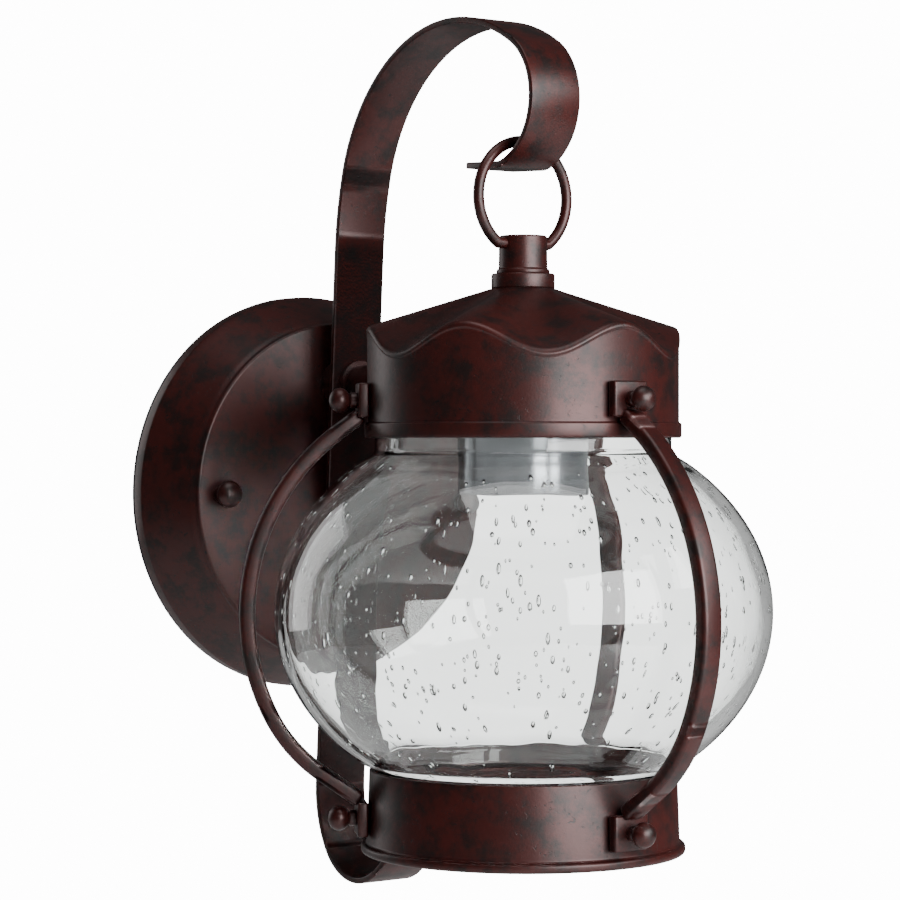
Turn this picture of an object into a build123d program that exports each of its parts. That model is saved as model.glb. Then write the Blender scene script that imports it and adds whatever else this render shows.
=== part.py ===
from build123d import *
import os
from math import asin, atan2, cos, degrees, hypot, radians, sin, sqrt, tan

# Outdoor wall lantern: round back plate, flat hook strap, fluted cap, glass onion globe
# held in a cage of three flat arms, and an open base ring for changing the lamp.
# Millimetres. The wall is the plane Y = 0, the lantern hangs on the -Y side, +Z is up,
# and the origin is the middle of the back plate in the plane of the wall.

# ---- driving dimensions ----
REACH = 122.0            # wall to lantern axis
PLATE_RADIUS = 65.5
PLATE_DEPTH = 25.4       # wall to the front of the raised disc
DISC_RADIUS = 56.2
PLATE_LIP = 6.0
SHEET = 1.1              # thickness of the pressed plate
STUD_SPACING = 95.0
BOX_SCREW_SPACING = 70.0
GASKET_THICKNESS = 1.4

STRAP_WIDTH = 18.8
STRAP_THICKNESS = 2.0
STRAP_FOOT = (58.21, -117.5)   # outer corner of the curl's end, from the lantern axis
STRAP_LEAN = 3.6         # degrees out of plumb, top towards the lantern
STRAP_STRAIGHT = 175.6   # between the bends of the foot and the hook
STRAP_BACK = 92.6        # lantern axis to the straight part's rear face, level with the origin
NIPPLE_HEIGHT = 36.0     # the hollow threaded tube that carries the wires
NIPPLE_RADIUS = 5.1
NIPPLE_BORE = 3.7

CAP_RADIUS = 47.5
CAP_WALL = 1.3
CAP_BOTTOM = 18.0
RIM_HEIGHT = 4.6
RIM_STEP = 0.8
ROOF_TOP = 63.6          # seat of the collar
ROOF_SLOPE = 17.3        # degrees, along a ridge
ROOF_SHEET = 2.2
FLUTES = 6
FLUTE_DEPTH = 8.4        # ridge to valley, measured at the rim
COLLAR_RADIUS = 9.7
COLLAR_HEIGHT = 4.5
STEM_RADIUS = 7.35
STEM_HEIGHT = 11.6
RING_RADIUS = 17.1       # to the middle of the wire
RING_WIRE = 3.4
RING_CENTRE = 91.4
RING_PIVOT = 77.2

GLASS_RADIUS = 75.9
GLASS_HALF_HEIGHT = 60.2
GLASS_CENTRE = -34.8
GLASS_WALL = 3.0
GLASS_TOP = 21.4
SHOULDER = (10.4, 13.4)  # heights where the body ends and the neck starts
ANKLE = (-80.6, -82.3)   # the same at the foot
GLASS_FOOT = -88.6
NECK_RADIUS = 45.2
FOOT_RADIUS = 44.6

BASE_TOP = -82.6
BASE_BOTTOM = -107.8
BASE_TOP_RADIUS = 46.9
BASE_BOTTOM_RADIUS = 47.8
BASE_WALL = 1.4
BEAD_RADIUS = 49.4
BEAD_HEIGHT = 2.8

ARM_ANGLES = {"front": -90, "left": 150, "right": 30}
ARM_WIDTH = 7.0
ARM_THICKNESS = 4.8
ARM_EDGE = 1.2
PAD_WIDTH = 12.6
PAD_HEIGHT = 10.6
PAD_THICKNESS = 3.2
PAD_SEAT = 47.6          # distance of the pad's back from the lantern axis
CAP_SCREW_HEIGHT = 29.4
BASE_SCREW_HEIGHT = -97.0
BASE_PAD_SEAT = 47.9

SOCKET_RADIUS = 20.0
SOCKET_BOTTOM = 0.6
SOCKET_HEIGHT = 33.4
LAMP_THREAD_RADIUS = 13.1
LAMP_THREAD_LENGTH = 21.4

STUD_RADIUS = 2.05       # M4 threads throughout
NUT_FLATS = 8.7
NIPPLE_NUT_FLATS = 14.2
WIRE_RADIUS = 1.2

BOTTOM = (Align.CENTER, Align.CENTER, Align.MIN)
AXIS_LOCATION = Location((0, -REACH, 0))

os.makedirs("parts", exist_ok=True)


def save(name, shape):
    """Write one node."""
    shape.label = name
    export_step(shape, f"parts/{name}.step")


# ---- general shapes ----
def turned(points):
    """Solid of revolution about Z from (radius, height) corners."""
    return revolve(Plane.XZ * make_face(Polyline(*points, close=True)), Axis.Z)


def rod(start, direction, length, radius):
    """Round bar from a point along a direction."""
    return Plane(origin=start, z_dir=direction) * Cylinder(radius, length, align=BOTTOM)


def tube(start, direction, length, radius, bore):
    """Round bar with a hole right through it."""
    return rod(start, direction, length, radius) - rod(start, direction, length, bore)


def hex_nut(start, direction, thickness, across_flats, bore):
    """Hexagon nut whose back face is at the start point."""
    body = extrude(RegularPolygon(across_flats / 2, 6, major_radius=False), thickness)
    body -= Cylinder(bore, thickness, align=BOTTOM)
    return Plane(origin=start, z_dir=direction) * body


def ribbon(start, heading, runs, thickness):
    """Outline of a strip bent through straight runs and arcs, as a flat face.

    Each run is (None, length) for a straight or (radius, turn in degrees) for an arc of
    the middle line, with a positive turn to the left.
    """
    x, y = start
    h = radians(heading)
    edges = []

    def beside(px, py, angle, side):
        return (px - side * thickness / 2 * sin(angle), py + side * thickness / 2 * cos(angle))

    edges.append(Line(beside(x, y, h, 1), beside(x, y, h, -1)))
    for radius, amount in runs:
        if radius is None:
            end = (x + amount * cos(h), y + amount * sin(h))
            for side in (1, -1):
                edges.append(Line(beside(x, y, h, side), beside(*end, h, side)))
            x, y = end
            continue
        sign = 1 if amount > 0 else -1
        turn = radians(amount)
        cx, cy = x - sign * radius * sin(h), y + sign * radius * cos(h)
        stops = [h, h + turn / 2, h + turn]
        middle = [(cx + sign * radius * sin(a), cy - sign * radius * cos(a)) for a in stops]
        for side in (1, -1):
            edges.append(ThreePointArc(*[beside(*p, a, side) for p, a in zip(middle, stops)]))
        (x, y), h = middle[-1], stops[-1]
    edges.append(Line(beside(x, y, h, 1), beside(x, y, h, -1)))
    return Face(Wire(edges))


def around(angle, shape):
    """Turn a shape made for the +X side of the lantern to its place on the lantern."""
    return AXIS_LOCATION * (Rotation(0, 0, angle) * shape)


# ---- wall side ----
def back_plate():
    """Pressed dish: lip, sloping band, step and flat raised disc."""
    band_foot, band_head = PLATE_RADIUS - 0.6, DISC_RADIUS + 1.2
    outer = [(0, PLATE_DEPTH), (DISC_RADIUS - 1.6, PLATE_DEPTH), (DISC_RADIUS, PLATE_DEPTH - 1.6),
             (band_head, PLATE_DEPTH - 4.2), (band_foot, PLATE_LIP + 1.2),
             (PLATE_RADIUS, PLATE_LIP), (PLATE_RADIUS, GASKET_THICKNESS)]
    inner = [(PLATE_RADIUS - SHEET, GASKET_THICKNESS), (PLATE_RADIUS - SHEET, PLATE_LIP - 0.4),
             (band_head - SHEET, PLATE_DEPTH - 4.8), (DISC_RADIUS - SHEET, PLATE_DEPTH - 2.4),
             (DISC_RADIUS - 2.2, PLATE_DEPTH - SHEET), (0, PLATE_DEPTH - SHEET)]
    dish = Rotation(90, 0, 0) * turned(outer + inner)
    for side in (-1, 1):
        dish -= rod((side * STUD_SPACING / 2, 0, 0), (0, -1, 0), PLATE_DEPTH + 1, 2.5)
    return dish - rod((0, 0, NIPPLE_HEIGHT), (0, -1, 0), PLATE_DEPTH + 1, NIPPLE_RADIUS + 0.3)


def crossbar():
    """Steel bar that screws to the outlet box, with slots, stud holes and an earth screw hole."""
    bar = Box(STUD_SPACING + 11, 2.0, 16, align=(Align.CENTER, Align.MAX, Align.CENTER))
    bar = fillet(bar.edges().filter_by(Axis.Y), 4)
    slot = Plane.XZ.offset(-1) * extrude(SlotOverall(12, 4.6), 4)
    for side in (-1, 1):
        bar -= Pos(side * BOX_SCREW_SPACING / 2, 0, 0) * slot
        bar -= rod((side * STUD_SPACING / 2, 1, 0), (0, -1, 0), 4, 2.1)
    bar -= rod((0, 1, 0), (0, -1, 0), 4, NIPPLE_RADIUS + 0.1)
    return bar - rod((17, 1, 0), (0, -1, 0), 4, 2.1)


def ball_nut(radius, length, bore, depth):
    """Round-ended hand nut with a neck, along +Z from its seat, with a blind hole."""
    neck = 1.9
    body = Cylinder(radius, length, align=BOTTOM)
    body = fillet(body.edges().filter_by(GeomType.CIRCLE), radius * 0.42)
    body = Pos(0, 0, neck) * body + Cylinder(radius * 0.64, neck + 0.8, align=BOTTOM)
    return body - Cylinder(bore, depth, align=BOTTOM)


def plate_hardware():
    """Studs, their lock nuts, the two ball nuts and the earth screw."""
    studs, nuts = [], []
    for side, name in ((-1, "left"), (1, "right")):
        x = side * STUD_SPACING / 2
        studs.append(rod((x, -0.3, 0), (0, -1, 0), PLATE_DEPTH + 5.0, STUD_RADIUS))
        nuts.append(hex_nut((x, -2.1, 0), (0, -1, 0), 3.2, NUT_FLATS, STUD_RADIUS + 0.05))
        seat = Plane(origin=(x, -PLATE_DEPTH - 0.05, 0), z_dir=(0, -1, 0))
        save(f"plate_nut_{name}", seat * ball_nut(4.3, 6.8, STUD_RADIUS + 0.07, 6.4))
    save("plate_studs", Compound(studs))
    save("stud_nuts", Compound(nuts))
    screw = rod((17, -0.2, 0), (0, -1, 0), 5.6, STUD_RADIUS) + rod((17, -5.4, 0), (0, -1, 0), 2.4, 4.0)
    save("ground_screw", screw)


# ---- strap and its fixing ----
def strap_face():
    """Side view of the strap in (Y from the lantern axis, Z), from the bottom curl to the hook tip."""
    half = STRAP_THICKNESS / 2
    tip_heading = -37.2
    start = (STRAP_FOOT[0] - half * sin(radians(tip_heading)),
             STRAP_FOOT[1] + half * cos(radians(tip_heading)))
    upright = 90 + STRAP_LEAN
    small_curl, large_curl = 95.4, upright - tip_heading - 95.4
    runs = [(None, 8.2), (19.5 - half, small_curl), (37.1 - half, large_curl),
            (None, STRAP_STRAIGHT), (119.8 - half, 12.0), (59.9 - half, 106.4), (21.6 - half, 129.6),
            (8.3 - half, 21.2), (None, 15.0)]
    return ribbon(start, tip_heading, runs, STRAP_THICKNESS)


def hook_strap():
    """Flat strap with a curled foot and a hook over the lantern."""
    strap = extrude(Plane.YZ * strap_face(), STRAP_WIDTH / 2, both=True)
    strap = Pos(0, -REACH, 0) * strap
    hole = rod((0, 0, NIPPLE_HEIGHT), (0, -1, 0), REACH, NIPPLE_RADIUS + 0.3)
    return strap - hole


def strap_back(z):
    """Distance of the straight part's wall-side face from the wall."""
    return REACH - STRAP_BACK + tan(radians(STRAP_LEAN)) * z


def nipple_stack():
    """Hollow nipple through plate, strap and cap, with its nuts, washer, spacer and tube."""
    z = NIPPLE_HEIGHT
    cap_back = REACH - CAP_RADIUS
    inside_cap = cap_back + CAP_WALL
    bore = NIPPLE_RADIUS + 0.05
    length = inside_cap + 4.6 - 18.5
    save("wire_nipple", tube((0, -18.5, z), (0, -1, 0), length, NIPPLE_RADIUS, NIPPLE_BORE))
    plate_inside = (0, -PLATE_DEPTH + SHEET + 0.05, z)
    save("canopy_nut", hex_nut(plate_inside, (0, 1, 0), 3.4, NIPPLE_NUT_FLATS, bore))
    save("cap_inner_nut", hex_nut((0, -inside_cap - 0.8, z), (0, -1, 0), 3.0, NIPPLE_NUT_FLATS, bore))
    lean = radians(STRAP_LEAN)
    slab = Plane(origin=(0, -strap_back(z), z), x_dir=(1, 0, 0), z_dir=(0, -cos(lean), -sin(lean)))
    front = slab.offset(STRAP_THICKNESS)
    spacer = tube((0, -PLATE_DEPTH, z), (0, -1, 0), 9, 8.2, bore)
    save("strap_spacer", split(spacer, slab, keep=Keep.BOTTOM))
    washer = tube((0, -strap_back(z), z), (0, -1, 0), 4.6, 7.4, bore)
    save("strap_washer", split(washer, front, keep=Keep.TOP))
    tube_start = strap_back(z) + 4.6
    sleeve = tube((0, -tube_start, z), (0, -1, 0), cap_back - tube_start + 1, 5.95, bore)
    sleeve -= AXIS_LOCATION * Cylinder(CAP_RADIUS + 0.02, 200)
    save("cap_tube", sleeve)


# ---- cap and what stands on it ----
def roof_height(x, y):
    """Height of the fluted roof above the origin, at a place measured from the lantern axis."""
    r = max(hypot(x, y), COLLAR_RADIUS)
    ridge = ROOF_TOP - (r - COLLAR_RADIUS) * tan(radians(ROOF_SLOPE))
    depth = FLUTE_DEPTH * min((r - COLLAR_RADIUS) / (CAP_RADIUS - COLLAR_RADIUS), 1.1)
    return ridge - depth * (1 + cos(FLUTES * atan2(y, x))) / 2


def under_roof():
    """Everything below the roof surface, as a square block."""
    reach, step = 50, 2
    grid = range(-reach, reach + 1, step)
    sheet = Face.make_surface_from_array_of_points(
        [[(x, y, roof_height(x, y)) for x in grid] for y in grid], tol=0.02, min_deg=3, max_deg=5)
    return extrude(sheet, 70, dir=(0, 0, -1))


def cap():
    """Cast cap: fluted roof, plain wall, raised rim and an inner ledge for the glass."""
    block = under_roof()
    drum = Cylinder(CAP_RADIUS, 60, align=BOTTOM)
    roof = (block & (Pos(0, 0, CAP_BOTTOM) * drum)) - (Pos(0, 0, -ROOF_SHEET) * block)
    rim, inner = CAP_RADIUS + RIM_STEP, CAP_RADIUS - CAP_WALL
    rim_top, ledge = CAP_BOTTOM + RIM_HEIGHT, CAP_BOTTOM + 4.9
    wall = turned([(inner, CAP_BOTTOM), (rim - 0.5, CAP_BOTTOM), (rim, CAP_BOTTOM + 0.5),
                   (rim, rim_top - 0.4), (rim - 0.4, rim_top), (CAP_RADIUS, rim_top),
                   (CAP_RADIUS, ROOF_TOP), (inner, ROOF_TOP), (inner, ledge + 1.5), (41.5, ledge + 1.5),
                   (41.5, ledge), (inner, ledge)])
    shell = roof + (wall & block)
    shell -= Pos(0, 0, ROOF_TOP) * Cylinder(COLLAR_RADIUS + 2, 5, align=BOTTOM)
    shell -= Pos(0, 0, 40) * Cylinder(NIPPLE_RADIUS + 0.3, 40, align=BOTTOM)
    shell -= rod((0, 0, NIPPLE_HEIGHT), (0, 1, 0), 60, NIPPLE_RADIUS + 0.3)
    for angle in ARM_ANGLES.values():
        shell -= Rotation(0, 0, angle) * rod((0, 0, CAP_SCREW_HEIGHT), (1, 0, 0), 60, 2.3)
    return AXIS_LOCATION * shell


def crown():
    """Collar, cross-drilled stem, the nipple under them and its lock nut."""
    bore = NIPPLE_RADIUS + 0.05
    foot = ROOF_TOP + COLLAR_HEIGHT
    head = foot + STEM_HEIGHT
    collar = turned([(bore, ROOF_TOP), (COLLAR_RADIUS, ROOF_TOP), (COLLAR_RADIUS, foot - 0.5),
                     (COLLAR_RADIUS - 0.5, foot), (bore, foot)])
    save("roof_collar", AXIS_LOCATION * collar)
    stem = turned([(0, foot + 4), (bore, foot + 4), (bore, foot), (STEM_RADIUS + 0.6, foot),
                   (STEM_RADIUS + 0.6, foot + 0.9), (STEM_RADIUS, foot + 1.4), (STEM_RADIUS, head - 0.5),
                   (STEM_RADIUS - 0.5, head), (0, head)])
    stem -= rod((-20, 0, RING_PIVOT), (1, 0, 0), 40, RING_WIRE / 2 + 0.06)
    save("stem", AXIS_LOCATION * stem)
    low = ROOF_TOP - 13
    nipple = tube((0, 0, low), (0, 0, 1), foot + 3.8 - low, NIPPLE_RADIUS, NIPPLE_BORE)
    save("stem_nipple", AXIS_LOCATION * nipple)
    under = (0, 0, ROOF_TOP - ROOF_SHEET - 0.05)
    save("stem_lock_nut", AXIS_LOCATION * hex_nut(under, (0, 0, -1), 3.2, NIPPLE_NUT_FLATS, bore))


def ring():
    """Wire ring whose two ends turn in as pins in the stem."""
    wire = RING_WIRE / 2
    drop = RING_CENTRE - RING_PIVOT
    joint_x = sqrt(RING_RADIUS ** 2 - drop ** 2)
    opening = degrees(atan2(joint_x, drop))
    section = Plane.XY * (Pos(RING_RADIUS, 0) * Circle(wire))
    arc = revolve(section, Axis((0, 0, 0), (0, -1, 0)), 360 - 2 * opening)
    body = Pos(0, 0, RING_CENTRE) * (Rotation(0, 90 - opening, 0) * arc)
    for side in (-1, 1):
        body += Pos(side * joint_x, 0, RING_PIVOT) * Sphere(wire + 0.06)
        body += rod((side * 5.0, 0, RING_PIVOT), (side, 0, 0), joint_x - 5.0, wire)
    return AXIS_LOCATION * body


# ---- lampholder ----
def lampholder():
    """Aluminium shell and cap, insulating liner, moulded body, screw shell and contacts."""
    r, low = SOCKET_RADIUS, SOCKET_BOTTOM
    save("socket_shell", AXIS_LOCATION * tube((0, 0, low), (0, 0, 1), SOCKET_HEIGHT, r, r - 0.8))
    dome = turned([(r + 0.1, 32), (r + 0.9, 32), (r + 0.9, 37), (r - 3, 42), (9.5, 45), (9.5, 53.5),
                   (5.15, 53.5), (5.15, 44), (r - 3.6, 41), (r + 0.1, 36.6)])
    dome -= rod((0, 0, 48.6), (0, 1, 0), 30, 1.0)
    lead_hole = rod((0, 10, 39.5), (0, 1, 0), 16, 4.2)
    save("socket_cap", AXIS_LOCATION * (dome - lead_hole))
    save("socket_liner", AXIS_LOCATION * tube((0, 0, 3.2), (0, 0, 1), 30, r - 0.9, r - 1.5))
    save("socket_mouth_ring", AXIS_LOCATION * tube((0, 0, low + 0.1), (0, 0, 1), 2.4, r - 0.85, 14.2))
    body = Pos(0, 0, 26.2) * Cylinder(16, 7, align=BOTTOM)
    screws = []
    for side in (-1, 1):
        body -= rod((side * 16, 0, 29.7), (-side, 0, 0), 6.3, 1.55)
        screws.append(AXIS_LOCATION * (rod((side * 10, 0, 29.7), (side, 0, 0), 6.5, 1.5)
                                       + rod((side * 16.05, 0, 29.7), (side, 0, 0), 1.5, 2.8)))
    save("socket_body", AXIS_LOCATION * body)
    save("terminal_screws", Compound(screws))
    thread = LAMP_THREAD_RADIUS
    sleeve = tube((0, 0, low + 1.2), (0, 0, 1), LAMP_THREAD_LENGTH, thread + 0.5, thread)
    save("screw_shell", AXIS_LOCATION * sleeve)
    contact = rod((0, 0, 23.4), (0, 0, 1), 0.8, 3.2) + rod((0, 0, 24.2), (0, 0, 1), 1.95, 1.2)
    save("centre_contact", AXIS_LOCATION * contact)


# ---- globe, base and cage ----
def glass_outline(inset):
    """Half section of the globe's wall surface, moved inwards by the given amount."""
    a, b = GLASS_RADIUS - inset, GLASS_HALF_HEIGHT - inset
    neck, foot = NECK_RADIUS - inset, FOOT_RADIUS - inset

    def angle(z):
        return degrees(asin((z - GLASS_CENTRE) / b))

    top, low = angle(SHOULDER[0]), angle(ANKLE[0])
    belly = EllipticalCenterArc((0, GLASS_CENTRE), a, b, low, arc_size=top - low)
    return belly, (neck, SHOULDER[1]), (neck, GLASS_TOP), (foot, ANKLE[1]), (foot, GLASS_FOOT)


def glass_globe():
    """Blown onion globe, open at both ends."""
    edges = []
    ends = []
    for inset in (0, GLASS_WALL):
        belly, shoulder, top, ankle, foot = glass_outline(inset)
        edges += [belly, Line(belly @ 1, shoulder), Line(shoulder, top),
                  Line(belly @ 0, ankle), Line(ankle, foot)]
        ends.append((top, foot))
    edges += [Line(ends[0][0], ends[1][0]), Line(ends[0][1], ends[1][1])]
    return AXIS_LOCATION * revolve(Plane.XZ * Face(Wire(edges)), Axis.Z)


def gaskets():
    """Soft rings at the neck and foot of the globe, and behind the plate."""
    neck = tube((0, 0, GLASS_TOP + 0.05), (0, 0, 1), 1.4, NECK_RADIUS, NECK_RADIUS - 3.2)
    save("top_gasket", AXIS_LOCATION * neck)
    foot = tube((0, 0, GLASS_FOOT - 0.05), (0, 0, -1), 1.3, FOOT_RADIUS, FOOT_RADIUS - 3.2)
    save("bottom_gasket", AXIS_LOCATION * foot)
    save("wall_gasket", tube((0, 0, 0), (0, -1, 0), GASKET_THICKNESS, PLATE_RADIUS - 0.3, 60.5))


def base_ring():
    """Spun ring with a rolled bead, open below, with a ledge that carries the globe."""
    t, b = BASE_TOP_RADIUS, BASE_BOTTOM_RADIUS
    bead_top = BASE_BOTTOM + BEAD_HEIGHT
    ledge = GLASS_FOOT - 1.4
    inner_top, inner_low = t - BASE_WALL, b - BASE_WALL
    ring_wall = turned([(inner_top, BASE_TOP), (t - 0.4, BASE_TOP), (t, BASE_TOP - 0.5), (b, bead_top),
                        (BEAD_RADIUS - 0.6, bead_top - 0.3), (BEAD_RADIUS, bead_top - 1.0),
                        (BEAD_RADIUS, BASE_BOTTOM + 0.9), (BEAD_RADIUS - 0.7, BASE_BOTTOM),
                        (inner_low, BASE_BOTTOM), (inner_top, ledge - 1.5), (40.6, ledge - 1.5),
                        (40.6, ledge), (inner_top, ledge)])
    for angle in ARM_ANGLES.values():
        ring_wall -= Rotation(0, 0, angle) * rod((0, 0, BASE_SCREW_HEIGHT), (1, 0, 0), 60, 2.3)
    return AXIS_LOCATION * ring_wall


def arm():
    """One bowed arm in the XZ plane, its long edges rounded, with its two screw pads."""
    runs = [(None, 7.3), (68.8, -79.4), (48.1, -30.1), (None, 14.0)]
    side_face = Plane.XZ * ribbon((49.6, 24.9), -35.8, runs, ARM_THICKNESS)
    bar = extrude(side_face, ARM_WIDTH / 2, both=True)
    flanks = bar.faces().sort_by(Axis.Y)
    ends = bar.faces().filter_by(lambda f: f.area < ARM_WIDTH * ARM_THICKNESS * 1.01).edges()
    long_edges = [e for e in flanks[0].edges() + flanks[-1].edges() if e not in ends]
    bar = fillet(long_edges, ARM_EDGE)
    for seat, height in ((PAD_SEAT, CAP_SCREW_HEIGHT), (BASE_PAD_SEAT, BASE_SCREW_HEIGHT)):
        pad = Box(PAD_THICKNESS, PAD_WIDTH, PAD_HEIGHT, align=(Align.MIN, Align.CENTER, Align.CENTER))
        pad = chamfer(pad.faces().sort_by(Axis.X)[-1].edges(), 0.7)
        bar += Pos(seat, 0, height) * pad
        bar -= rod((seat - 1, 0, height), (1, 0, 0), 20, 2.2)
        bar -= rod((seat + PAD_THICKNESS, 0, height), (1, 0, 0), 20, 4.2)
    return bar


def cage():
    """Three arms with ball-headed screws at cap and base, and the nuts fixed inside."""
    pad = arm()
    places = {"cap": (PAD_SEAT, CAP_SCREW_HEIGHT, 45.6),
              "base": (BASE_PAD_SEAT, BASE_SCREW_HEIGHT, 45.4)}
    nuts = {"cap": [], "base": []}
    for side, angle in ARM_ANGLES.items():
        save(f"arm_{side}", around(angle, pad))
        for end, (seat, height, nut_face) in places.items():
            face = seat + PAD_THICKNESS + 0.05
            head = Plane(origin=(face, 0, height), z_dir=(1, 0, 0)) * ball_nut(3.8, 6.6, 0.4, 0.2)
            shank = rod((40.5, 0, height), (1, 0, 0), face - 40.5 + 1.0, STUD_RADIUS)
            save(f"{end}_screw_{side}", around(angle, head + shank))
            nut = hex_nut((nut_face, 0, height), (-1, 0, 0), 3.2, NUT_FLATS, STUD_RADIUS + 0.05)
            nuts[end].append(around(angle, nut))
    for end, solids in nuts.items():
        save(f"{end}_nuts", Compound(solids))


# ---- wiring inside the canopy ----
def wiring():
    """Two supply leads and the earth lead, each ending in a wire connector."""
    routes = {
        "lead_black": [(-1.6, 17.5, 39.5), (-1.6, 29, 39.0), (-1.6, 41, NIPPLE_HEIGHT),
                       (-1.6, 108.5, NIPPLE_HEIGHT), (-10, 110, 16), (-13, 110, -10)],
        "lead_white": [(1.6, 17.5, 39.5), (1.6, 29, 39.0), (1.6, 41, NIPPLE_HEIGHT),
                       (1.6, 108.5, NIPPLE_HEIGHT), (10, 110, 16), (13, 110, -10)],
        "ground_lead": [(20.4, 118.1, 3.5), (20.4, 118.1, -9), (21.5, 113, -20),
                        (15, 110, -33), (4, 110, -39)],
    }
    for name, places in routes.items():
        points = [(x, y - REACH, z) for x, y, z in places]
        bends = [9, 9, 8] if name == "ground_lead" else [10, 10, 6.5, 9]
        path = FilletPolyline(*points, radius=bends)
        body = sweep(Plane(origin=path @ 0, z_dir=path % 0) * Circle(WIRE_RADIUS), path)
        end, direction = path @ 1, path % 1
        save(name, body)
        cone = Cone(4.2, 2.6, 16, align=BOTTOM) - Cylinder(WIRE_RADIUS + 0.05, 6, align=BOTTOM)
        cone = Plane(origin=end - direction * 4, z_dir=direction) * cone
        save(name.replace("lead_", "").replace("_lead", "") + "_connector", cone)


save("back_plate", back_plate())
save("crossbar", crossbar())
plate_hardware()
save("hook_strap", hook_strap())
nipple_stack()
save("cap", cap())
crown()
save("ring", ring())
lampholder()
save("glass_globe", glass_globe())
gaskets()
save("base_ring", base_ring())
cage()
wiring()
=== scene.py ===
import random
from math import acos, atan2, cos, degrees, hypot, pi, radians, sin, sqrt

import bmesh
import bpy
from mathutils import Matrix, Vector


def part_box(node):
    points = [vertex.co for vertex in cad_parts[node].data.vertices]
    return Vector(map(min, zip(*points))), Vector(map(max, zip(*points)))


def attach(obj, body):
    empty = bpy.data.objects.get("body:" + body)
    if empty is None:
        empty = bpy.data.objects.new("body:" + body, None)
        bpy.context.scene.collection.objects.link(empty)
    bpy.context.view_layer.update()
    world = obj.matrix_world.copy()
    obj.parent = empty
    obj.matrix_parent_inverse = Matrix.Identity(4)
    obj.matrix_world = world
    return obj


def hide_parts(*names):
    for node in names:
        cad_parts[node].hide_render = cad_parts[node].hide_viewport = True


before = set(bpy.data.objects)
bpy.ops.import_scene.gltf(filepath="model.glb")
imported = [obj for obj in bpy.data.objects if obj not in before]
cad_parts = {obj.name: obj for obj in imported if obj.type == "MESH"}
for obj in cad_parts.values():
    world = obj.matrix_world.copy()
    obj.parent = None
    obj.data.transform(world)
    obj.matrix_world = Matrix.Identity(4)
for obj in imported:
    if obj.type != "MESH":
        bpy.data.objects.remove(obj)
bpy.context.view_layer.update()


# ---- Back plate ----
# A round dish pressed from 1 mm steel sheet: a short lip against the wall, a sloping band and a
# flat raised disc. It is powder coated in the old bronze that covers all the outside ironwork.
MM = 0.001
plate_low, plate_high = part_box("back_plate")
plate_radius = plate_high.x / MM
plate_depth = -plate_low.y / MM
plate_lip = 6.0
disc_radius = 56.2
sheet = 1.1


def linear(code):
    """An sRGB hex colour as the linear RGBA that a socket takes."""
    channels = [int(code[i:i + 2], 16) / 255 for i in (0, 2, 4)]
    return [c / 12.92 if c < 0.04045 else ((c + 0.055) / 1.055) ** 2.4 for c in channels] + [1.0]


def add_node(tree, kind, inputs, **settings):
    """Adds a node; an input given as a socket is linked, any other is set."""
    node = tree.nodes.new(kind)
    for key, value in settings.items():
        setattr(node, key, value)
    for key, value in inputs.items():
        if isinstance(value, bpy.types.NodeSocket):
            tree.links.new(value, node.inputs[key])
        else:
            node.inputs[key].default_value = value
    return node


def mix(tree, factor, first, second):
    """The blend of two colours, each a socket or a hex code, by a factor socket."""
    node = tree.nodes.new("ShaderNodeMix")
    node.data_type = "RGBA"
    tree.links.new(factor, node.inputs[0])
    for socket, colour in ((node.inputs[6], first), (node.inputs[7], second)):
        if isinstance(colour, str):
            socket.default_value = linear(colour)
        else:
            tree.links.new(colour, socket)
    return node.outputs[2]


def noise(tree, place, size_mm, detail, **more):
    """The value of a noise pattern whose marks have a real size."""
    return add_node(tree, "ShaderNodeTexNoise", {"Vector": place, "Scale": 1 / (size_mm * MM),
                                                 "Detail": detail, **more}).outputs["Fac"]


def new_material(name, **shader):
    """A material with its tree and its Principled shader, some of whose sockets are set."""
    material = bpy.data.materials.new(name)
    material.use_nodes = True
    surface = material.node_tree.nodes["Principled BSDF"]
    for key, value in shader.items():
        surface.inputs[key.replace("_", " ")].default_value = value
    return material, material.node_tree, surface


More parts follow.
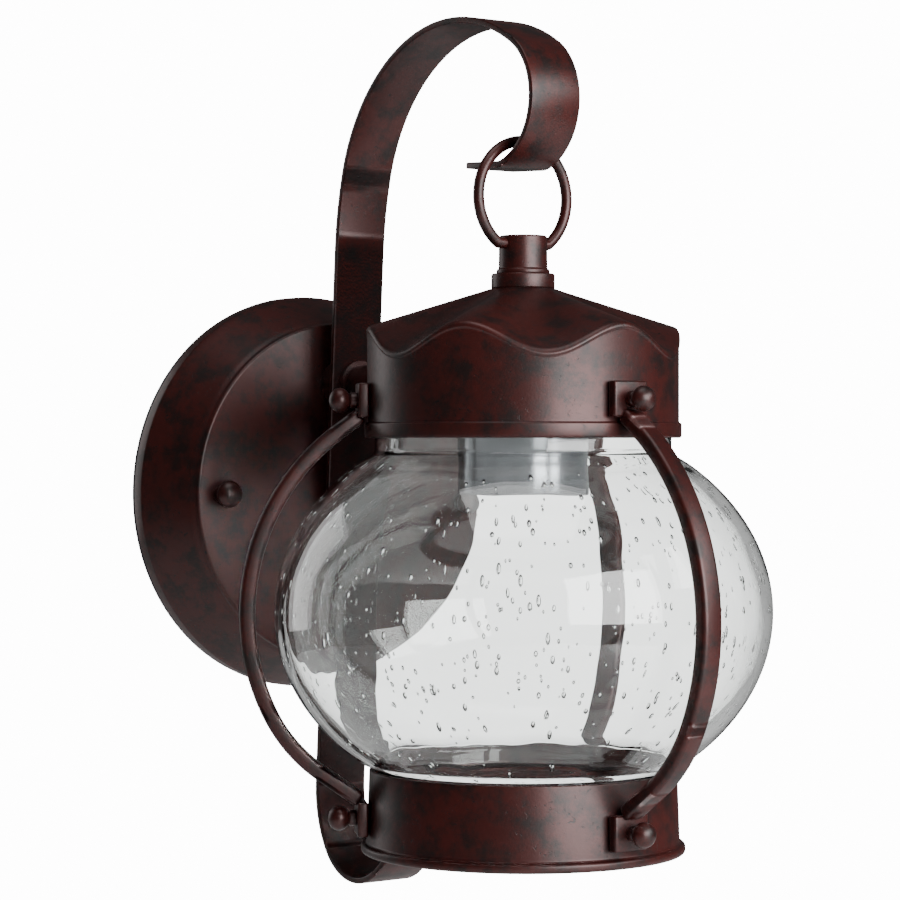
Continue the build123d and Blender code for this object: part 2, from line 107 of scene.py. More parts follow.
def old_bronze():
    """Powder coat in dark red-brown, rubbed with black: a satin, slightly pebbled skin.

    Blotches a few centimetres wide vary the red, rubbed patches of about 1 cm darken it, and small
    flecks are almost black.
    """
    blotch_mm, mottle_mm, fleck_mm, pebble_mm = 34.0, 9.0, 2.2, 0.8
    material, tree, surface = new_material("old_bronze_powder_coat", Metallic=0.3, IOR=1.5,
                                           Coat_Weight=0.12, Coat_Roughness=0.3)
    place = add_node(tree, "ShaderNodeTexCoord", {}).outputs["Object"]
    blotch = noise(tree, place, blotch_mm, 3.0)
    mottle = noise(tree, place, mottle_mm, 6.0, Roughness=0.7)
    fleck = noise(tree, place, fleck_mm, 4.0, Roughness=0.6, Distortion=1.2)
    pebble = noise(tree, place, pebble_mm, 2.0)
    red = mix(tree, blotch, "220b0a", "48140f")
    dark_part = add_node(tree, "ShaderNodeMapRange", {"Value": mottle, "From Min": 0.46,
                                                      "From Max": 0.62, "To Max": 0.85})
    rubbed = mix(tree, dark_part.outputs["Result"], red, "0f0807")
    fleck_part = add_node(tree, "ShaderNodeMapRange", {"Value": fleck, "From Min": 0.63,
                                                       "From Max": 0.7, "To Max": 0.8})
    colour = mix(tree, fleck_part.outputs["Result"], rubbed, "070404")
    gloss = add_node(tree, "ShaderNodeMapRange", {"Value": mottle, "To Min": 0.3, "To Max": 0.5})
    pebbles = add_node(tree, "ShaderNodeBump", {"Height": pebble, "Strength": 0.35,
                                                "Distance": 0.06 * MM})
    pits = add_node(tree, "ShaderNodeBump", {"Height": fleck_part.outputs["Result"], "Strength": 0.5,
                                             "Distance": 0.08 * MM,
                                             "Normal": pebbles.outputs["Normal"]}, invert=True)
    tree.links.new(colour, surface.inputs["Base Color"])
    tree.links.new(gloss.outputs["Result"], surface.inputs["Roughness"])
    tree.links.new(pits.outputs["Normal"], surface.inputs["Normal"])
    return material


def lathe(outline, steps=160):
    """Turns a closed outline of (radius, height, rounding) corners in mm about the Z axis."""
    bm = bmesh.new()
    corners = [bm.verts.new((r * MM, 0, z * MM)) for r, z, _ in outline]
    bm.faces.new(corners)
    for corner, (_, _, rounding) in zip(corners, outline):
        if rounding:
            bmesh.ops.bevel(bm, geom=[corner], offset=rounding * MM, affect="VERTICES", segments=4,
                            profile=0.5, material=-1, clamp_overlap=True)
    bmesh.ops.delete(bm, geom=list(bm.faces), context="FACES_ONLY")
    on_axis = [e for e in bm.edges if all(abs(v.co.x) < 1e-7 for v in e.verts)]
    bmesh.ops.delete(bm, geom=on_axis, context="EDGES")
    bmesh.ops.spin(bm, geom=list(bm.verts) + list(bm.edges), cent=(0, 0, 0), axis=(0, 0, 1),
                   angle=2 * pi, steps=steps, use_merge=True)
    bmesh.ops.remove_doubles(bm, verts=bm.verts, dist=1e-7)
    bmesh.ops.recalc_face_normals(bm, faces=bm.faces)
    return bm


def make_piece(bm, name, body, nodes, material, sharp=38):
    """A finished bmesh becomes a piece that rides on a body and stands for CAD nodes."""
    mesh = bpy.data.meshes.new(name)
    bm.to_mesh(mesh)
    bm.free()
    mesh.shade_smooth()
    mesh.set_sharp_from_angle(angle=radians(sharp))
    mesh.materials.append(material)
    piece = bpy.data.objects.new(name, mesh)
    bpy.context.scene.collection.objects.link(piece)
    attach(piece, body)
    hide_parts(*nodes)
    return piece


def turn_bmesh(bm, angle, axis):
    """Turns a whole bmesh about an axis through the origin, in degrees."""
    bmesh.ops.rotate(bm, verts=bm.verts, cent=(0, 0, 0),
                     matrix=Matrix.Rotation(radians(angle), 3, axis))


bronze = old_bronze()
gasket_back = 1.4
band_foot, band_head = plate_radius - 0.6, disc_radius + 1.2
bm = lathe([(0, plate_depth, 0), (disc_radius - 0.3, plate_depth, 0.8),
            (disc_radius, plate_depth - 1.5, 0.3), (band_head - 0.2, plate_depth - 3.0, 0.5),
            (band_foot, plate_lip + 1.2, 1.2),
            (plate_radius, plate_lip - 0.2, 0.5), (plate_radius, gasket_back, 0.4),
            (plate_radius - sheet, gasket_back, 0.2), (plate_radius - sheet, plate_lip - 0.6, 0.8),
            (band_head - sheet, plate_depth - 4.2, 0.8), (disc_radius - sheet, plate_depth - 2.4, 0.6),
            (disc_radius - 1.6, plate_depth - sheet, 0.4), (0, plate_depth - sheet, 0)], steps=200)
turn_bmesh(bm, 90, "X")
make_piece(bm, "plate_dish", "lantern", ["back_plate"], bronze)


# ---- Crossbar, studs, nuts and wiring nipple ----
# Bright zinc plated steel hardware, stamped, rolled and hobbed, hidden behind the plate and inside
# the cap. The CAD solids already have its shape; the earth screw is dyed green.
def zinc_plate(name, colour):
    """Zinc plate: pale blue-grey metal with a faint spangle a few millimetres wide."""
    spangle_mm = 2.5
    material, tree, surface = new_material(name, Metallic=1.0)
    place = add_node(tree, "ShaderNodeTexCoord", {}).outputs["Object"]
    spangle = add_node(tree, "ShaderNodeTexVoronoi", {"Vector": place, "Scale": 1 / (spangle_mm * MM)})
    tone = mix(tree, spangle.outputs["Distance"], colour, "8f9698")
    gloss = add_node(tree, "ShaderNodeMapRange", {"Value": spangle.outputs["Distance"], "To Min": 0.28,
                                                  "To Max": 0.45})
    tree.links.new(tone, surface.inputs["Base Color"])
    tree.links.new(gloss.outputs["Result"], surface.inputs["Roughness"])
    return material


def finish_nodes(names, material):
    """Gives CAD nodes a material and keeps their shape."""
    for name in names:
        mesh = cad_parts[name].data
        mesh.materials.clear()
        mesh.materials.append(material)


zinc = zinc_plate("bright_zinc_plate", "c3c8ca")
finish_nodes(["crossbar", "plate_studs", "stud_nuts", "wire_nipple", "canopy_nut", "cap_inner_nut",
              "stem_nipple", "stem_lock_nut", "cap_nuts", "base_nuts"], zinc)
finish_nodes(["ground_screw"], zinc_plate("green_zinc_plate", "2f7d45"))


# ---- Hook strap ----
# A mild steel flat, 19 x 2 mm, rolled cold into a hook at the top and a curl at the foot, with
# its edges eased. It leans a little from the wall and carries the whole lantern.
strap_low, strap_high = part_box("hook_strap")
stem_low, stem_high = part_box("stem")
axis_y = (stem_low.y + stem_high.y) / 2
strap_width = (strap_high.x - strap_low.x) / MM
strap_thickness = 2.0
strap_lean = 3.6
foot_heading = -37.2
foot_corner = (58.21, -117.5)


def start_strip(start, heading, width, thickness):
    """A flat end face standing across the YZ plane at a point, facing along a heading in degrees."""
    bm = bmesh.new()
    bmesh.ops.create_grid(bm, x_segments=1, y_segments=1, size=0.5)
    bmesh.ops.scale(bm, verts=bm.verts, vec=(width * MM, thickness * MM, 1))
    turn_bmesh(bm, heading - 90, "X")
    bmesh.ops.translate(bm, verts=bm.verts, vec=(0, start[0] * MM, start[1] * MM))
    return bm


def bend_along(bm, start, heading, runs, degrees_per_step=4):
    """Extrudes the face through straights (None, length) and arcs (radius, turn), in mm and degrees."""
    y, z = start
    angle = radians(heading)
    tip = list(bm.faces)
    for radius, amount in runs:
        if radius is None:
            grown = bmesh.ops.extrude_face_region(bm, geom=tip)["geom"]
            step = (amount * cos(angle), amount * sin(angle))
            verts = [g for g in grown if isinstance(g, bmesh.types.BMVert)]
            bmesh.ops.translate(bm, verts=verts, vec=(0, step[0] * MM, step[1] * MM))
            tip = [g for g in grown if isinstance(g, bmesh.types.BMFace)]
            y, z = y + step[0], z + step[1]
            continue
        side = 1 if amount > 0 else -1
        centre = (y - side * radius * sin(angle), z + side * radius * cos(angle))
        steps = max(3, round(abs(amount) / degrees_per_step))
        turned = bmesh.ops.spin(bm, geom=tip, cent=(0, centre[0] * MM, centre[1] * MM), axis=(1, 0, 0),
                                angle=radians(amount), steps=steps)["geom_last"]
        tip = [g for g in turned if isinstance(g, bmesh.types.BMFace)]
        angle += radians(amount)
        y, z = centre[0] + side * radius * sin(angle), centre[1] - side * radius * cos(angle)
    return bm


def ease_edges(bm, offset, segments=2, above=60):
    """Rounds every edge sharper than an angle."""
    bmesh.ops.remove_doubles(bm, verts=bm.verts, dist=1e-7)
    bmesh.ops.recalc_face_normals(bm, faces=bm.faces)
    sharp = [e for e in bm.edges if len(e.link_faces) == 2 and e.calc_face_angle() > radians(above)]
    bmesh.ops.bevel(bm, geom=sharp, offset=offset * MM, affect="EDGES", segments=segments, profile=0.5,
                    material=-1, clamp_overlap=True)


half = strap_thickness / 2
strap_start = (foot_corner[0] - half * sin(radians(foot_heading)) + axis_y / MM,
               foot_corner[1] + half * cos(radians(foot_heading)))
strap_runs = [(None, 8.2), (19.5 - half, 95.4), (37.1 - half, 90 + strap_lean - foot_heading - 95.4),
              (None, 175.6), (119.8 - half, 12.0), (59.9 - half, 106.4), (21.6 - half, 129.6),
              (8.3 - half, 21.2), (None, 15.0)]
bm = start_strip(strap_start, foot_heading, strap_width, strap_thickness)
bend_along(bm, strap_start, foot_heading, strap_runs, degrees_per_step=3)
ease_edges(bm, 0.45, segments=3)
make_piece(bm, "rolled_hook_strap", "lantern", ["hook_strap"], bronze)


# ---- Spacer, washer and tube between plate and cap ----
# Turned steel rings and a steel sleeve threaded over the wiring nipple; they hold the strap off
# the plate and the cap off the strap, and wear the same bronze coat.
finish_nodes(["strap_spacer", "strap_washer", "cap_tube"], bronze)


# ---- Cap ----
# One aluminium casting: a roof pressed into six flutes, a plain wall and a raised rim at its foot.
# The roof's edge rises over each arm and midway between, and dips in the flutes.
def turned_size(node):
    """Radius, foot and top of a round CAD node that stands on the Z axis, in mm."""
    low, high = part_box(node)
    return (high.x - low.x) / 2 / MM, low.z / MM, high.z / MM


rim_radius, cap_foot, _ = turned_size("cap")
collar_radius, roof_top, collar_top = turned_size("roof_collar")
cap_radius, cap_wall = 47.5, 1.3
rim_height = 4.6
ledge_radius, ledge_foot, ledge_top = 41.5, cap_foot + 4.9, cap_foot + 6.4
roof_sheet, roof_hole = 2.2, 5.4
roof_edge = roof_top - (cap_radius - collar_radius) * 0.3115
flute_depth = 8.4
lip = 0.3


def flute(bm, above):
    """Lets the roof and the top of the wall down into six flutes."""
    for vert in bm.verts:
        if vert.co.z < above * MM:
            continue
        reach = (hypot(vert.co.x, vert.co.y) / MM - collar_radius) / (cap_radius - collar_radius)
        wave = (1 + cos(6 * atan2(vert.co.y, vert.co.x))) / 2
        vert.co.z -= flute_depth * MM * wave * min(max(reach, 0), 1)


def on_lantern(bm):
    """Moves a piece made about the Z axis onto the lantern's axis."""
    bmesh.ops.translate(bm, verts=bm.verts, vec=(0, axis_y, 0))
    return bm


bm = lathe([(cap_radius - cap_wall, cap_foot, 0.3), (rim_radius, cap_foot, 0.8),
            (rim_radius, cap_foot + rim_height, 0.5),
            (cap_radius + 0.05, cap_foot + rim_height + 0.1, 0.15),
            (cap_radius, cap_foot + rim_height + 0.7, 0), (cap_radius, roof_edge - 2.0, 0.3),
            (cap_radius + lip, roof_edge - 1.5, 0.25), (cap_radius + lip, roof_edge, 1.3),
            (collar_radius - 0.2, roof_top + 0.02, 0), (roof_hole, roof_top - 0.05, 0),
            (roof_hole, roof_top - roof_sheet, 0), (cap_radius - cap_wall, roof_edge - roof_sheet, 0.6),
            (cap_radius - cap_wall, ledge_top, 0), (ledge_radius, ledge_top, 0.3),
            (ledge_radius, ledge_foot, 0.3), (cap_radius - cap_wall, ledge_foot, 0)], steps=240)
flute(bm, above=roof_edge - 5)
make_piece(on_lantern(bm), "fluted_cap", "lantern", ["cap"], bronze, sharp=50)


# ---- Collar and stem ----
# Two small steel turnings on the roof: a plain collar, and a stem with a foot bead that is drilled
# across for the ring's pins. A threaded nipple draws both down onto the cap.
collar_hole = 5.2
bm = lathe([(collar_hole, roof_top, 0), (collar_radius, roof_top, 0.3),
            (collar_radius, collar_top, 0.6), (collar_hole, collar_top, 0)], steps=96)
make_piece(on_lantern(bm), "turned_collar", "lantern", ["roof_collar"], bronze)
stem_foot, stem_head = stem_low.z / MM, stem_high.z / MM
stem_radius = 7.35
bm = lathe([(0, stem_foot, 0), (stem_radius + 0.75, stem_foot, 0.2),
            (stem_radius + 0.75, stem_foot + 1.3, 0.5), (stem_radius + 0.15, stem_foot + 1.5, 0.2),
            (stem_radius + 0.12, stem_foot + 2.2, 0.3),
            (stem_radius, stem_head, 0.7), (stem_radius - 1.6, stem_head, 0.5),
            (stem_radius - 2.0, stem_head - 0.5, 0.4), (0, stem_head - 0.5, 0)], steps=96)
make_piece(on_lantern(bm), "turned_stem", "lantern", ["stem"], bronze)


# ---- Ring ----
# Steel wire 3.4 mm thick bent into an open ring; its ends turn in and sit as pins in the stem's
# cross hole, so the ring swings until it meets the hook.
ring_radius, wire, ring_centre, ring_pivot = 17.1, 3.4, 91.4, 77.2
pin_end, turn_in = 5.0, 1.9
drop = ring_centre - ring_pivot
bend_x = sqrt((ring_radius - turn_in) ** 2 - (drop - turn_in) ** 2)
turn_in_angle = 90 - degrees(atan2(drop - turn_in, bend_x))
pin_length = bend_x - pin_end
ring_runs = [(None, pin_length), (turn_in, turn_in_angle), (ring_radius, 360 - 2 * turn_in_angle),
             (turn_in, turn_in_angle), (None, pin_length)]
bm = bmesh.new()
bmesh.ops.create_circle(bm, cap_ends=True, segments=20, radius=wire / 2 * MM)
turn_bmesh(bm, -90, "X")
bmesh.ops.translate(bm, verts=bm.verts, vec=(0, pin_end * MM, ring_pivot * MM))
bend_along(bm, (pin_end, ring_pivot), 0, ring_runs)
bmesh.ops.recalc_face_normals(bm, faces=bm.faces)
turn_bmesh(bm, -90, "Z")
make_piece(on_lantern(bm), "wire_ring", "ring", ["ring"], bronze)


# ---- Lampholder ----
# A medium-screw lampholder hung from the cap: a spun aluminium shell over a phenolic body, with a
# fibre liner, a brass screw shell and contact, and a spun aluminium cap closing its top.
def brushed_metal(name, colour, dark, roughness):
    """Spun bare metal: fine turning rings about the lantern's axis and a little uneven tarnish."""
    ring_mm, tarnish_mm = 0.5, 12.0
    material, tree, surface = new_material(name, Metallic=1.0)
    place = add_node(tree, "ShaderNodeTexCoord", {}).outputs["Object"]
    squeeze = add_node(tree, "ShaderNodeMapping", {"Vector": place, "Scale": (0.02, 0.02, 1.0)})
    rings = noise(tree, squeeze.outputs["Vector"], ring_mm, 3.0)
    tarnish = noise(tree, place, tarnish_mm, 5.0)
    gloss = add_node(tree, "ShaderNodeMapRange", {"Value": tarnish, "To Min": roughness - 0.06,
                                                  "To Max": roughness + 0.1})
    grain = add_node(tree, "ShaderNodeBump", {"Height": rings, "Strength": 0.25,
                                              "Distance": 0.03 * MM})
    tree.links.new(mix(tree, tarnish, colour, dark), surface.inputs["Base Color"])
    tree.links.new(gloss.outputs["Result"], surface.inputs["Roughness"])
    tree.links.new(grain.outputs["Normal"], surface.inputs["Normal"])
    return material


def moulded(name, colour, dark, roughness, grain_mm, grain_depth_mm):
    """A moulded or pressed material with a faint grain of a given size."""
    material, tree, surface = new_material(name, Roughness=roughness)
    place = add_node(tree, "ShaderNodeTexCoord", {}).outputs["Object"]
    grain = noise(tree, place, grain_mm, 4.0)
    rough = add_node(tree, "ShaderNodeBump", {"Height": grain, "Strength": 0.5,
                                              "Distance": grain_depth_mm * MM})
    tree.links.new(mix(tree, grain, colour, dark), surface.inputs["Base Color"])
    tree.links.new(rough.outputs["Normal"], surface.inputs["Normal"])
    return material


aluminium = brushed_metal("spun_aluminium", "a3a5a9", "75787c", 0.22)
shell_radius, mouth, shell_top = turned_size("socket_shell")
bm = lathe([(shell_radius, mouth + 0.2, 0.5), (shell_radius, mouth + 9.6, 0.15),
            (shell_radius - 0.35, mouth + 10.1, 0.2), (shell_radius - 0.35, mouth + 10.7, 0.2),
            (shell_radius, mouth + 11.2, 0.15), (shell_radius, shell_top - 9.6, 0.15),
            (shell_radius - 0.35, shell_top - 9.1, 0.2), (shell_radius - 0.35, shell_top - 8.5, 0.2),
            (shell_radius, shell_top - 8.0, 0.15), (shell_radius, shell_top, 0.3),
            (shell_radius - 0.8, shell_top, 0.1), (shell_radius - 0.8, mouth + 1.6, 0.3),
            (shell_radius - 1.9, mouth + 1.0, 0.3), (shell_radius - 2.0, mouth + 0.1, 0.3)], steps=128)
make_piece(on_lantern(bm), "spun_socket_shell", "lantern", ["socket_shell"],
           aluminium)

dome_radius, dome_foot, dome_top = turned_size("socket_cap")
tower_radius, tower_hole = 9.5, 5.3
bm = lathe([(dome_radius, dome_foot, 0.25), (dome_radius, dome_foot + 5, 1.6),
            (dome_radius - 4.4, dome_foot + 9.6, 3.0), (tower_radius, dome_foot + 13.0, 2.0),
            (tower_radius, dome_top, 0.8), (tower_hole, dome_top, 0), (tower_hole, dome_top - 1, 0),
            (tower_radius - 0.9, dome_top - 1, 0.6), (tower_radius - 0.9, dome_foot + 12.3, 1.6),
            (dome_radius - 5.2, dome_foot + 9.0, 2.4),
            (dome_radius - 0.8, dome_foot + 4.6, 1.2), (dome_radius - 0.8, dome_foot, 0.2)], steps=128)
make_piece(on_lantern(bm), "spun_socket_cap", "lantern", ["socket_cap"], aluminium)

brass = brushed_metal("bright_brass", "d8b06a", "a8813f", 0.3)
screw_radius, screw_foot, _ = turned_size("screw_shell")
thread_pitch, thread_depth = 3.63, 0.8
ridge_step, ridge_points = 0.45, 47
sleeve = [(screw_radius, screw_foot + 0.02 + ridge_step * i, 0) for i in range(ridge_points)]
bm = lathe(sleeve + [(r - 0.5, z, 0) for r, z, _ in reversed(sleeve)], steps=96)
for vert in bm.verts:
    turn = atan2(vert.co.y, vert.co.x) / (2 * pi)
    wave = (1 + cos(2 * pi * (vert.co.z / MM / thread_pitch - turn))) / 2
    radius = hypot(vert.co.x, vert.co.y)
    squeeze = 1 - thread_depth * MM * wave / radius
    vert.co.x, vert.co.y = vert.co.x * squeeze, vert.co.y * squeeze
make_piece(on_lantern(bm), "rolled_screw_shell", "lantern", ["screw_shell"], brass, sharp=60)
finish_nodes(["centre_contact", "terminal_screws"], brass)
finish_nodes(["socket_body", "socket_mouth_ring"],
             moulded("black_phenolic", "17171a", "0e0e10", 0.32, 1.5, 0.01))
finish_nodes(["socket_liner"], moulded("fibre_liner_card", "3a3431", "2a2523", 0.8, 0.4, 0.04))


# ---- Seeded glass globe ----
# A jar blown from clear soda glass 3 mm thick: an egg-shaped body with a short neck and foot, cut
# open at both ends. Hundreds of small seeds, air bubbles drawn out lengthwise, lie in its wall.
_, globe_foot, globe_top = turned_size("glass_globe")
half_width, half_height, body_height = 75.9, 60.2, -34.8
neck_radius, foot_radius, glass_wall = 45.2, 44.6, 3.0
neck_start, neck_end = 10.4, 13.4
foot_start, foot_end = -80.6, -82.3
seed_count = 680
random.seed(7)


def blown_glass():
    """Clear glass whose surface waves very slightly, as hand-blown glass does."""
    wave_mm = 22.0
    material, tree, surface = new_material("seeded_soda_glass", Transmission_Weight=1.0,
                                           Roughness=0.0, IOR=1.5)
    place = add_node(tree, "ShaderNodeTexCoord", {}).outputs["Object"]
    waves = noise(tree, place, wave_mm, 1.0)
    uneven = add_node(tree, "ShaderNodeBump", {"Height": waves, "Strength": 1.0,
                                               "Distance": 0.35 * MM})
    tree.links.new(uneven.outputs["Normal"], surface.inputs["Normal"])
    surface.inputs["Base Color"].default_value = linear("fbfdfc")
    return material


def add_seed(bm, bubble, angle, height, drop_in, long, wide):
    """One bubble: a void of a few dozen faces lying along the wall, a little under the skin."""
    slope = (height - body_height) / half_height
    radius = half_width * sqrt(1 - slope * slope)
    lean = atan2(radius / half_width ** 2, (height - body_height) / half_height ** 2)
    centre = Vector(((radius - drop_in * sin(lean)) * MM, 0, (height - drop_in * cos(lean)) * MM))
    place = (Matrix.Rotation(angle, 4, "Z") @ Matrix.Translation(centre)
             @ Matrix.Rotation(lean - pi / 2, 4, "Y")
             @ Matrix.Diagonal((min(wide, 0.9), wide, long, 1)))
    bubble.transform(place)
    bm.from_mesh(bubble)
    bubble.transform(place.inverted())


def oval(first, last, inset, steps):
    """Points down or up the body's side between two heights, evenly spaced round the ellipse."""
    rise = half_height - inset
    start, end = (acos((height - body_height) / rise) for height in (first, last))
    turns = [start + (end - start) * i / steps for i in range(steps + 1)]
    return [((half_width - inset) * sin(t), body_height + rise * cos(t), 0) for t in turns]


bm = lathe([(neck_radius, globe_top, 0.9), (neck_radius, neck_end, 1.6)]
           + oval(neck_start, foot_start, 0, 70)
           + [(foot_radius, foot_end, 0.9), (foot_radius, globe_foot, 0.9),
              (foot_radius - glass_wall, globe_foot, 0.9), (foot_radius - glass_wall, foot_end, 1.2)]
           + oval(foot_start + 2.6, neck_start - 2.6, glass_wall, 66)
           + [(neck_radius - glass_wall, neck_end - 0.4, 1.2),
              (neck_radius - glass_wall, globe_top, 0.9)], steps=192)
seed = bmesh.new()
bmesh.ops.create_uvsphere(seed, u_segments=8, v_segments=6, radius=0.5 * MM)
bmesh.ops.reverse_faces(seed, faces=seed.faces)
bubble = bpy.data.meshes.new("bubble")
seed.to_mesh(bubble)
seed.free()
for _ in range(seed_count):
    height = body_height + (random.random() * 1.72 - 0.88) * (half_height - 6)
    size = random.choice([1.1, 1.3, 1.5, 1.8, 2.2, 2.6, 3.6])
    add_seed(bm, bubble, random.uniform(0, 2 * pi), height, random.uniform(0.9, 2.0), size,
             min(size * random.uniform(0.45, 0.75), 1.3))
bpy.data.meshes.remove(bubble)
make_piece(on_lantern(bm), "seeded_globe", "lantern", ["glass_globe"], blown_glass(),
           sharp=50)


# ---- Gaskets ----
# Three soft rubber rings: one cushions the globe's neck in the cap, one its foot in the base ring,
# and a flat one seals the plate to the wall.
finish_nodes(["top_gasket", "bottom_gasket", "wall_gasket"],
             moulded("black_rubber", "1a1a1b", "101011", 0.75, 0.7, 0.03))


# ---- Base ring ----
# A collar spun from aluminium sheet, open below, with a rolled bead at its foot and an inner ledge
# under the globe's gasket. Three screws hold the arms to it.
bead_radius, base_foot, base_top = turned_size("base_ring")
base_radius, base_flare, base_wall = 46.9, 47.8, 1.4
seat_radius, seat_foot, seat_top = 40.6, -91.5, -90.0
bm = lathe([(base_radius, base_top, 0.5), (base_flare - 0.1, base_foot + 3.4, 0.3),
            (base_flare + 0.3, base_foot + 2.9, 0.15), (bead_radius, base_foot + 2.7, 0.8),
            (bead_radius, base_foot, 1.0), (base_flare - base_wall, base_foot, 0.4),
            (base_radius + 0.5 - base_wall, seat_foot, 0), (seat_radius, seat_foot, 0.4),
            (seat_radius, seat_top, 0.4), (base_radius + 0.4 - base_wall, seat_top, 0),
            (base_radius - base_wall, base_top, 0.4)], steps=200)
make_piece(on_lantern(bm), "spun_base_ring", "lantern", ["base_ring"], bronze)


# ---- Arms ----
# Three arms of steel bar, 7 x 5 mm with well rounded edges, bowed round the globe. Their ends are
# forged out into small pads for the ball screws.
arm_places = (("front", -90), ("left", 150), ("right", 30))
arm_width, arm_thickness, arm_edge = 7.0, 4.8, 1.4
arm_start, arm_heading = (49.6, 24.9), -35.8
arm_runs = [(None, 7.3), (68.8, -79.4), (48.1, -30.1), (None, 14)]
pad_width, pad_height, pad_thickness = 12.6, 10.6, 3.2
top_pad, foot_pad = (47.6, 29.4), (47.9, -97.0)


def add_pad(bm, back, centre_height):
    """A forged pad: a small block with generous edges, in the plane of the arm."""
    verts = bmesh.ops.create_cube(bm, size=1.0)["verts"]
    bmesh.ops.scale(bm, verts=verts, vec=(pad_width * MM, pad_thickness * MM, pad_height * MM))
    bmesh.ops.translate(bm, verts=verts, vec=(0, (back + pad_thickness / 2) * MM, centre_height * MM))


def join(bm, other):
    """Adds one bmesh to another."""
    mesh = bpy.data.meshes.new("joined")
    other.to_mesh(mesh)
    other.free()
    bm.from_mesh(mesh)
    bpy.data.meshes.remove(mesh)


for name, angle in arm_places:
    bm = start_strip(arm_start, arm_heading, arm_width, arm_thickness)
    bend_along(bm, arm_start, arm_heading, arm_runs, degrees_per_step=3)
    ease_edges(bm, arm_edge, segments=4)
    pads = bmesh.new()
    add_pad(pads, *top_pad)
    add_pad(pads, *foot_pad)
    ease_edges(pads, 0.7, segments=3)
    join(bm, pads)
    turn_bmesh(bm, angle - 90, "Z")
    make_piece(on_lantern(bm), "forged_arm_" + name, "lantern", ["arm_" + name],
               bronze)


# ---- Ball screws ----
# Six decorative steel screws with ball heads run through the pads into nuts behind them, and two
# longer ball nuts hold the plate to its studs. Each is a turning, coated like the rest.
def ball_outline(start, neck, head_radius, head_length):
    """A ball head's outline from its neck on: (radius, distance, rounding)."""
    half_length = head_length / 2
    bulge = [(head_radius * sin(t), start + neck + half_length - half_length * cos(t), 0)
             for t in [radians(a) for a in range(30, 180, 10)]]
    return ([(head_radius * 0.64, start, 0.2), (head_radius * 0.64, start + neck, 0.2)]
            + bulge + [(0, start + neck + head_length, 0)])


shank_radius, shank_start, head_gap, head_neck = 2.05, 40.5, 3.25, 1.9
for end, (back, height) in (("cap", top_pad), ("base", foot_pad)):
    for name, angle in arm_places:
        bm = lathe([(0, shank_start, 0), (shank_radius, shank_start, 0.4),
                    (shank_radius, back + head_gap, 0)]
                   + ball_outline(back + head_gap, head_neck, 3.8, 6.6), steps=32)
        turn_bmesh(bm, 90, "Y")
        bmesh.ops.translate(bm, verts=bm.verts, vec=(0, 0, height * MM))
        turn_bmesh(bm, angle, "Z")
        node = end + "_screw_" + name
        make_piece(on_lantern(bm), end + "_ball_screw_" + name, node, [node], bronze)

stud_reach = 47.5
for name, side in (("left", -1), ("right", 1)):
    node = "plate_nut_" + name
    nut_back = -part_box(node)[1].y / MM
    bm = lathe([(0, nut_back, 0)] + ball_outline(nut_back, head_neck, 4.3, 6.8), steps=40)
    turn_bmesh(bm, 90, "X")
    bmesh.ops.translate(bm, verts=bm.verts, vec=(side * stud_reach * MM, 0, 0))
    make_piece(bm, "plate_ball_nut_" + name, node, [node], bronze)


# ---- Wiring ----
# Two stranded fixture wires with plastic insulation and a green earth lead run from the lampholder
# through the nipple into the plate; moulded twist connectors close their ends.
for node, colour, dark in (("lead_black", "141416", "0c0c0d"), ("lead_white", "e4e2da", "c9c6bc"),
                           ("ground_lead", "1f7a3a", "176030")):
    finish_nodes([node], moulded(node + "_insulation", colour, dark, 0.42, 3.0, 0.01))
finish_nodes(["black_connector", "white_connector", "ground_connector"],
             moulded("orange_connector_nylon", "d9691e", "c25a16", 0.45, 1.2, 0.02))


# ---- Studio ----
# A pale round of paper under a large softbox to the right of the camera, with weaker ones beside
# it, above and behind. The dark room is white only where it is seen directly or through the glass.
room = bpy.data.worlds.new("pale_room")
bpy.context.scene.world = room
room.use_nodes = True
air = room.node_tree
seen_white, glass_white, deep_glass_white, reflected_white = 14.0, 2.2, 0.6, 0.08
seen = add_node(air, "ShaderNodeLightPath", {})
unreflected = add_node(air, "ShaderNodeMath", {0: seen.outputs["Glossy Depth"], 1: 0.5},
                       operation="LESS_THAN")
clear_view = add_node(air, "ShaderNodeMath", {0: unreflected.outputs["Value"], 1: glass_white,
                                              2: deep_glass_white}, operation="MULTIPLY_ADD")
through_glass = add_node(air, "ShaderNodeMath", {0: seen.outputs["Is Transmission Ray"],
                                                 1: clear_view.outputs["Value"],
                                                 2: reflected_white}, operation="MULTIPLY_ADD")
backdrop = add_node(air, "ShaderNodeMath", {0: seen.outputs["Is Camera Ray"], 1: seen_white,
                                            2: through_glass.outputs["Value"]},
                    operation="MULTIPLY_ADD")
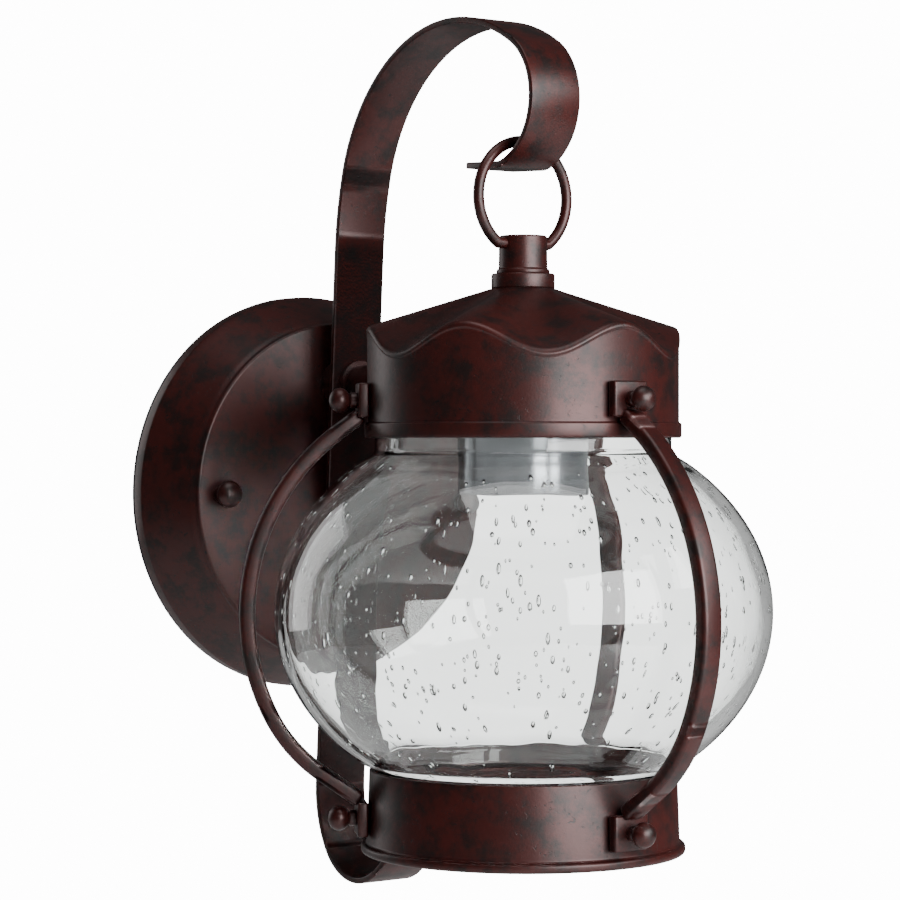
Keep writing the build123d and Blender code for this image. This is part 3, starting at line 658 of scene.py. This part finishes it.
air.links.new(backdrop.outputs["Value"], air.nodes["Background"].inputs["Strength"])
air.nodes["Background"].inputs["Color"].default_value = linear("ffffff")

paper_level = -0.30
bm = bmesh.new()
bmesh.ops.create_circle(bm, cap_ends=True, segments=96, radius=1.0)
bmesh.ops.translate(bm, verts=bm.verts, vec=(0, axis_y, paper_level))
mesh = bpy.data.meshes.new("paper_floor")
bm.to_mesh(mesh)
bm.free()
paper = new_material("white_paper", Roughness=0.9)[0]
paper.node_tree.nodes["Principled BSDF"].inputs["Base Color"].default_value = linear("f4f4f4")
mesh.materials.append(paper)
floor = bpy.data.objects.new("paper_floor", mesh)
bpy.context.scene.collection.objects.link(floor)


def softbox(name, ahead, across, up, width, height, power):
    """A rectangular area light facing the lantern, placed from it by distances in camera terms."""
    place = target + forward * ahead + right * across + Vector((0, 0, up))
    light = bpy.data.lights.new(name, "AREA")
    light.shape = "RECTANGLE"
    light.size, light.size_y, light.energy = width, height, power
    lamp = bpy.data.objects.new(name, light)
    lamp.location = place
    lamp.rotation_euler = (target - place).to_track_quat("-Z", "Y").to_euler()
    bpy.context.scene.collection.objects.link(lamp)


camera_azimuth = -37.0
forward = Vector((-sin(radians(camera_azimuth)), cos(radians(camera_azimuth)), 0))
right = Vector((forward.y, -forward.x, 0))
target = Vector((0, axis_y, 0))
softbox("key_softbox", -0.88, 0.74, 0.25, 0.95, 0.7, 27)
softbox("side_softbox", -0.28, 1.1, 0.5, 0.4, 0.45, 4)
softbox("top_softbox", -0.3, 0, 1.1, 0.8, 0.8, 5)
softbox("rim_softbox", 0.65, -0.9, 0.2, 0.5, 0.8, 2)

camera = bpy.data.cameras.new("catalogue_camera")
camera.lens, camera.sensor_width = 115.4, 36.0
camera.shift_y = -1 / 90
viewer = bpy.data.objects.new("catalogue_camera", camera)
viewer.rotation_euler = (radians(90), 0, radians(camera_azimuth))
viewer.location = target - forward * 0.88 - right * 0.02227 + Vector((0, 0, 0.0174))
bpy.context.scene.collection.objects.link(viewer)
bpy.context.scene.camera = viewer
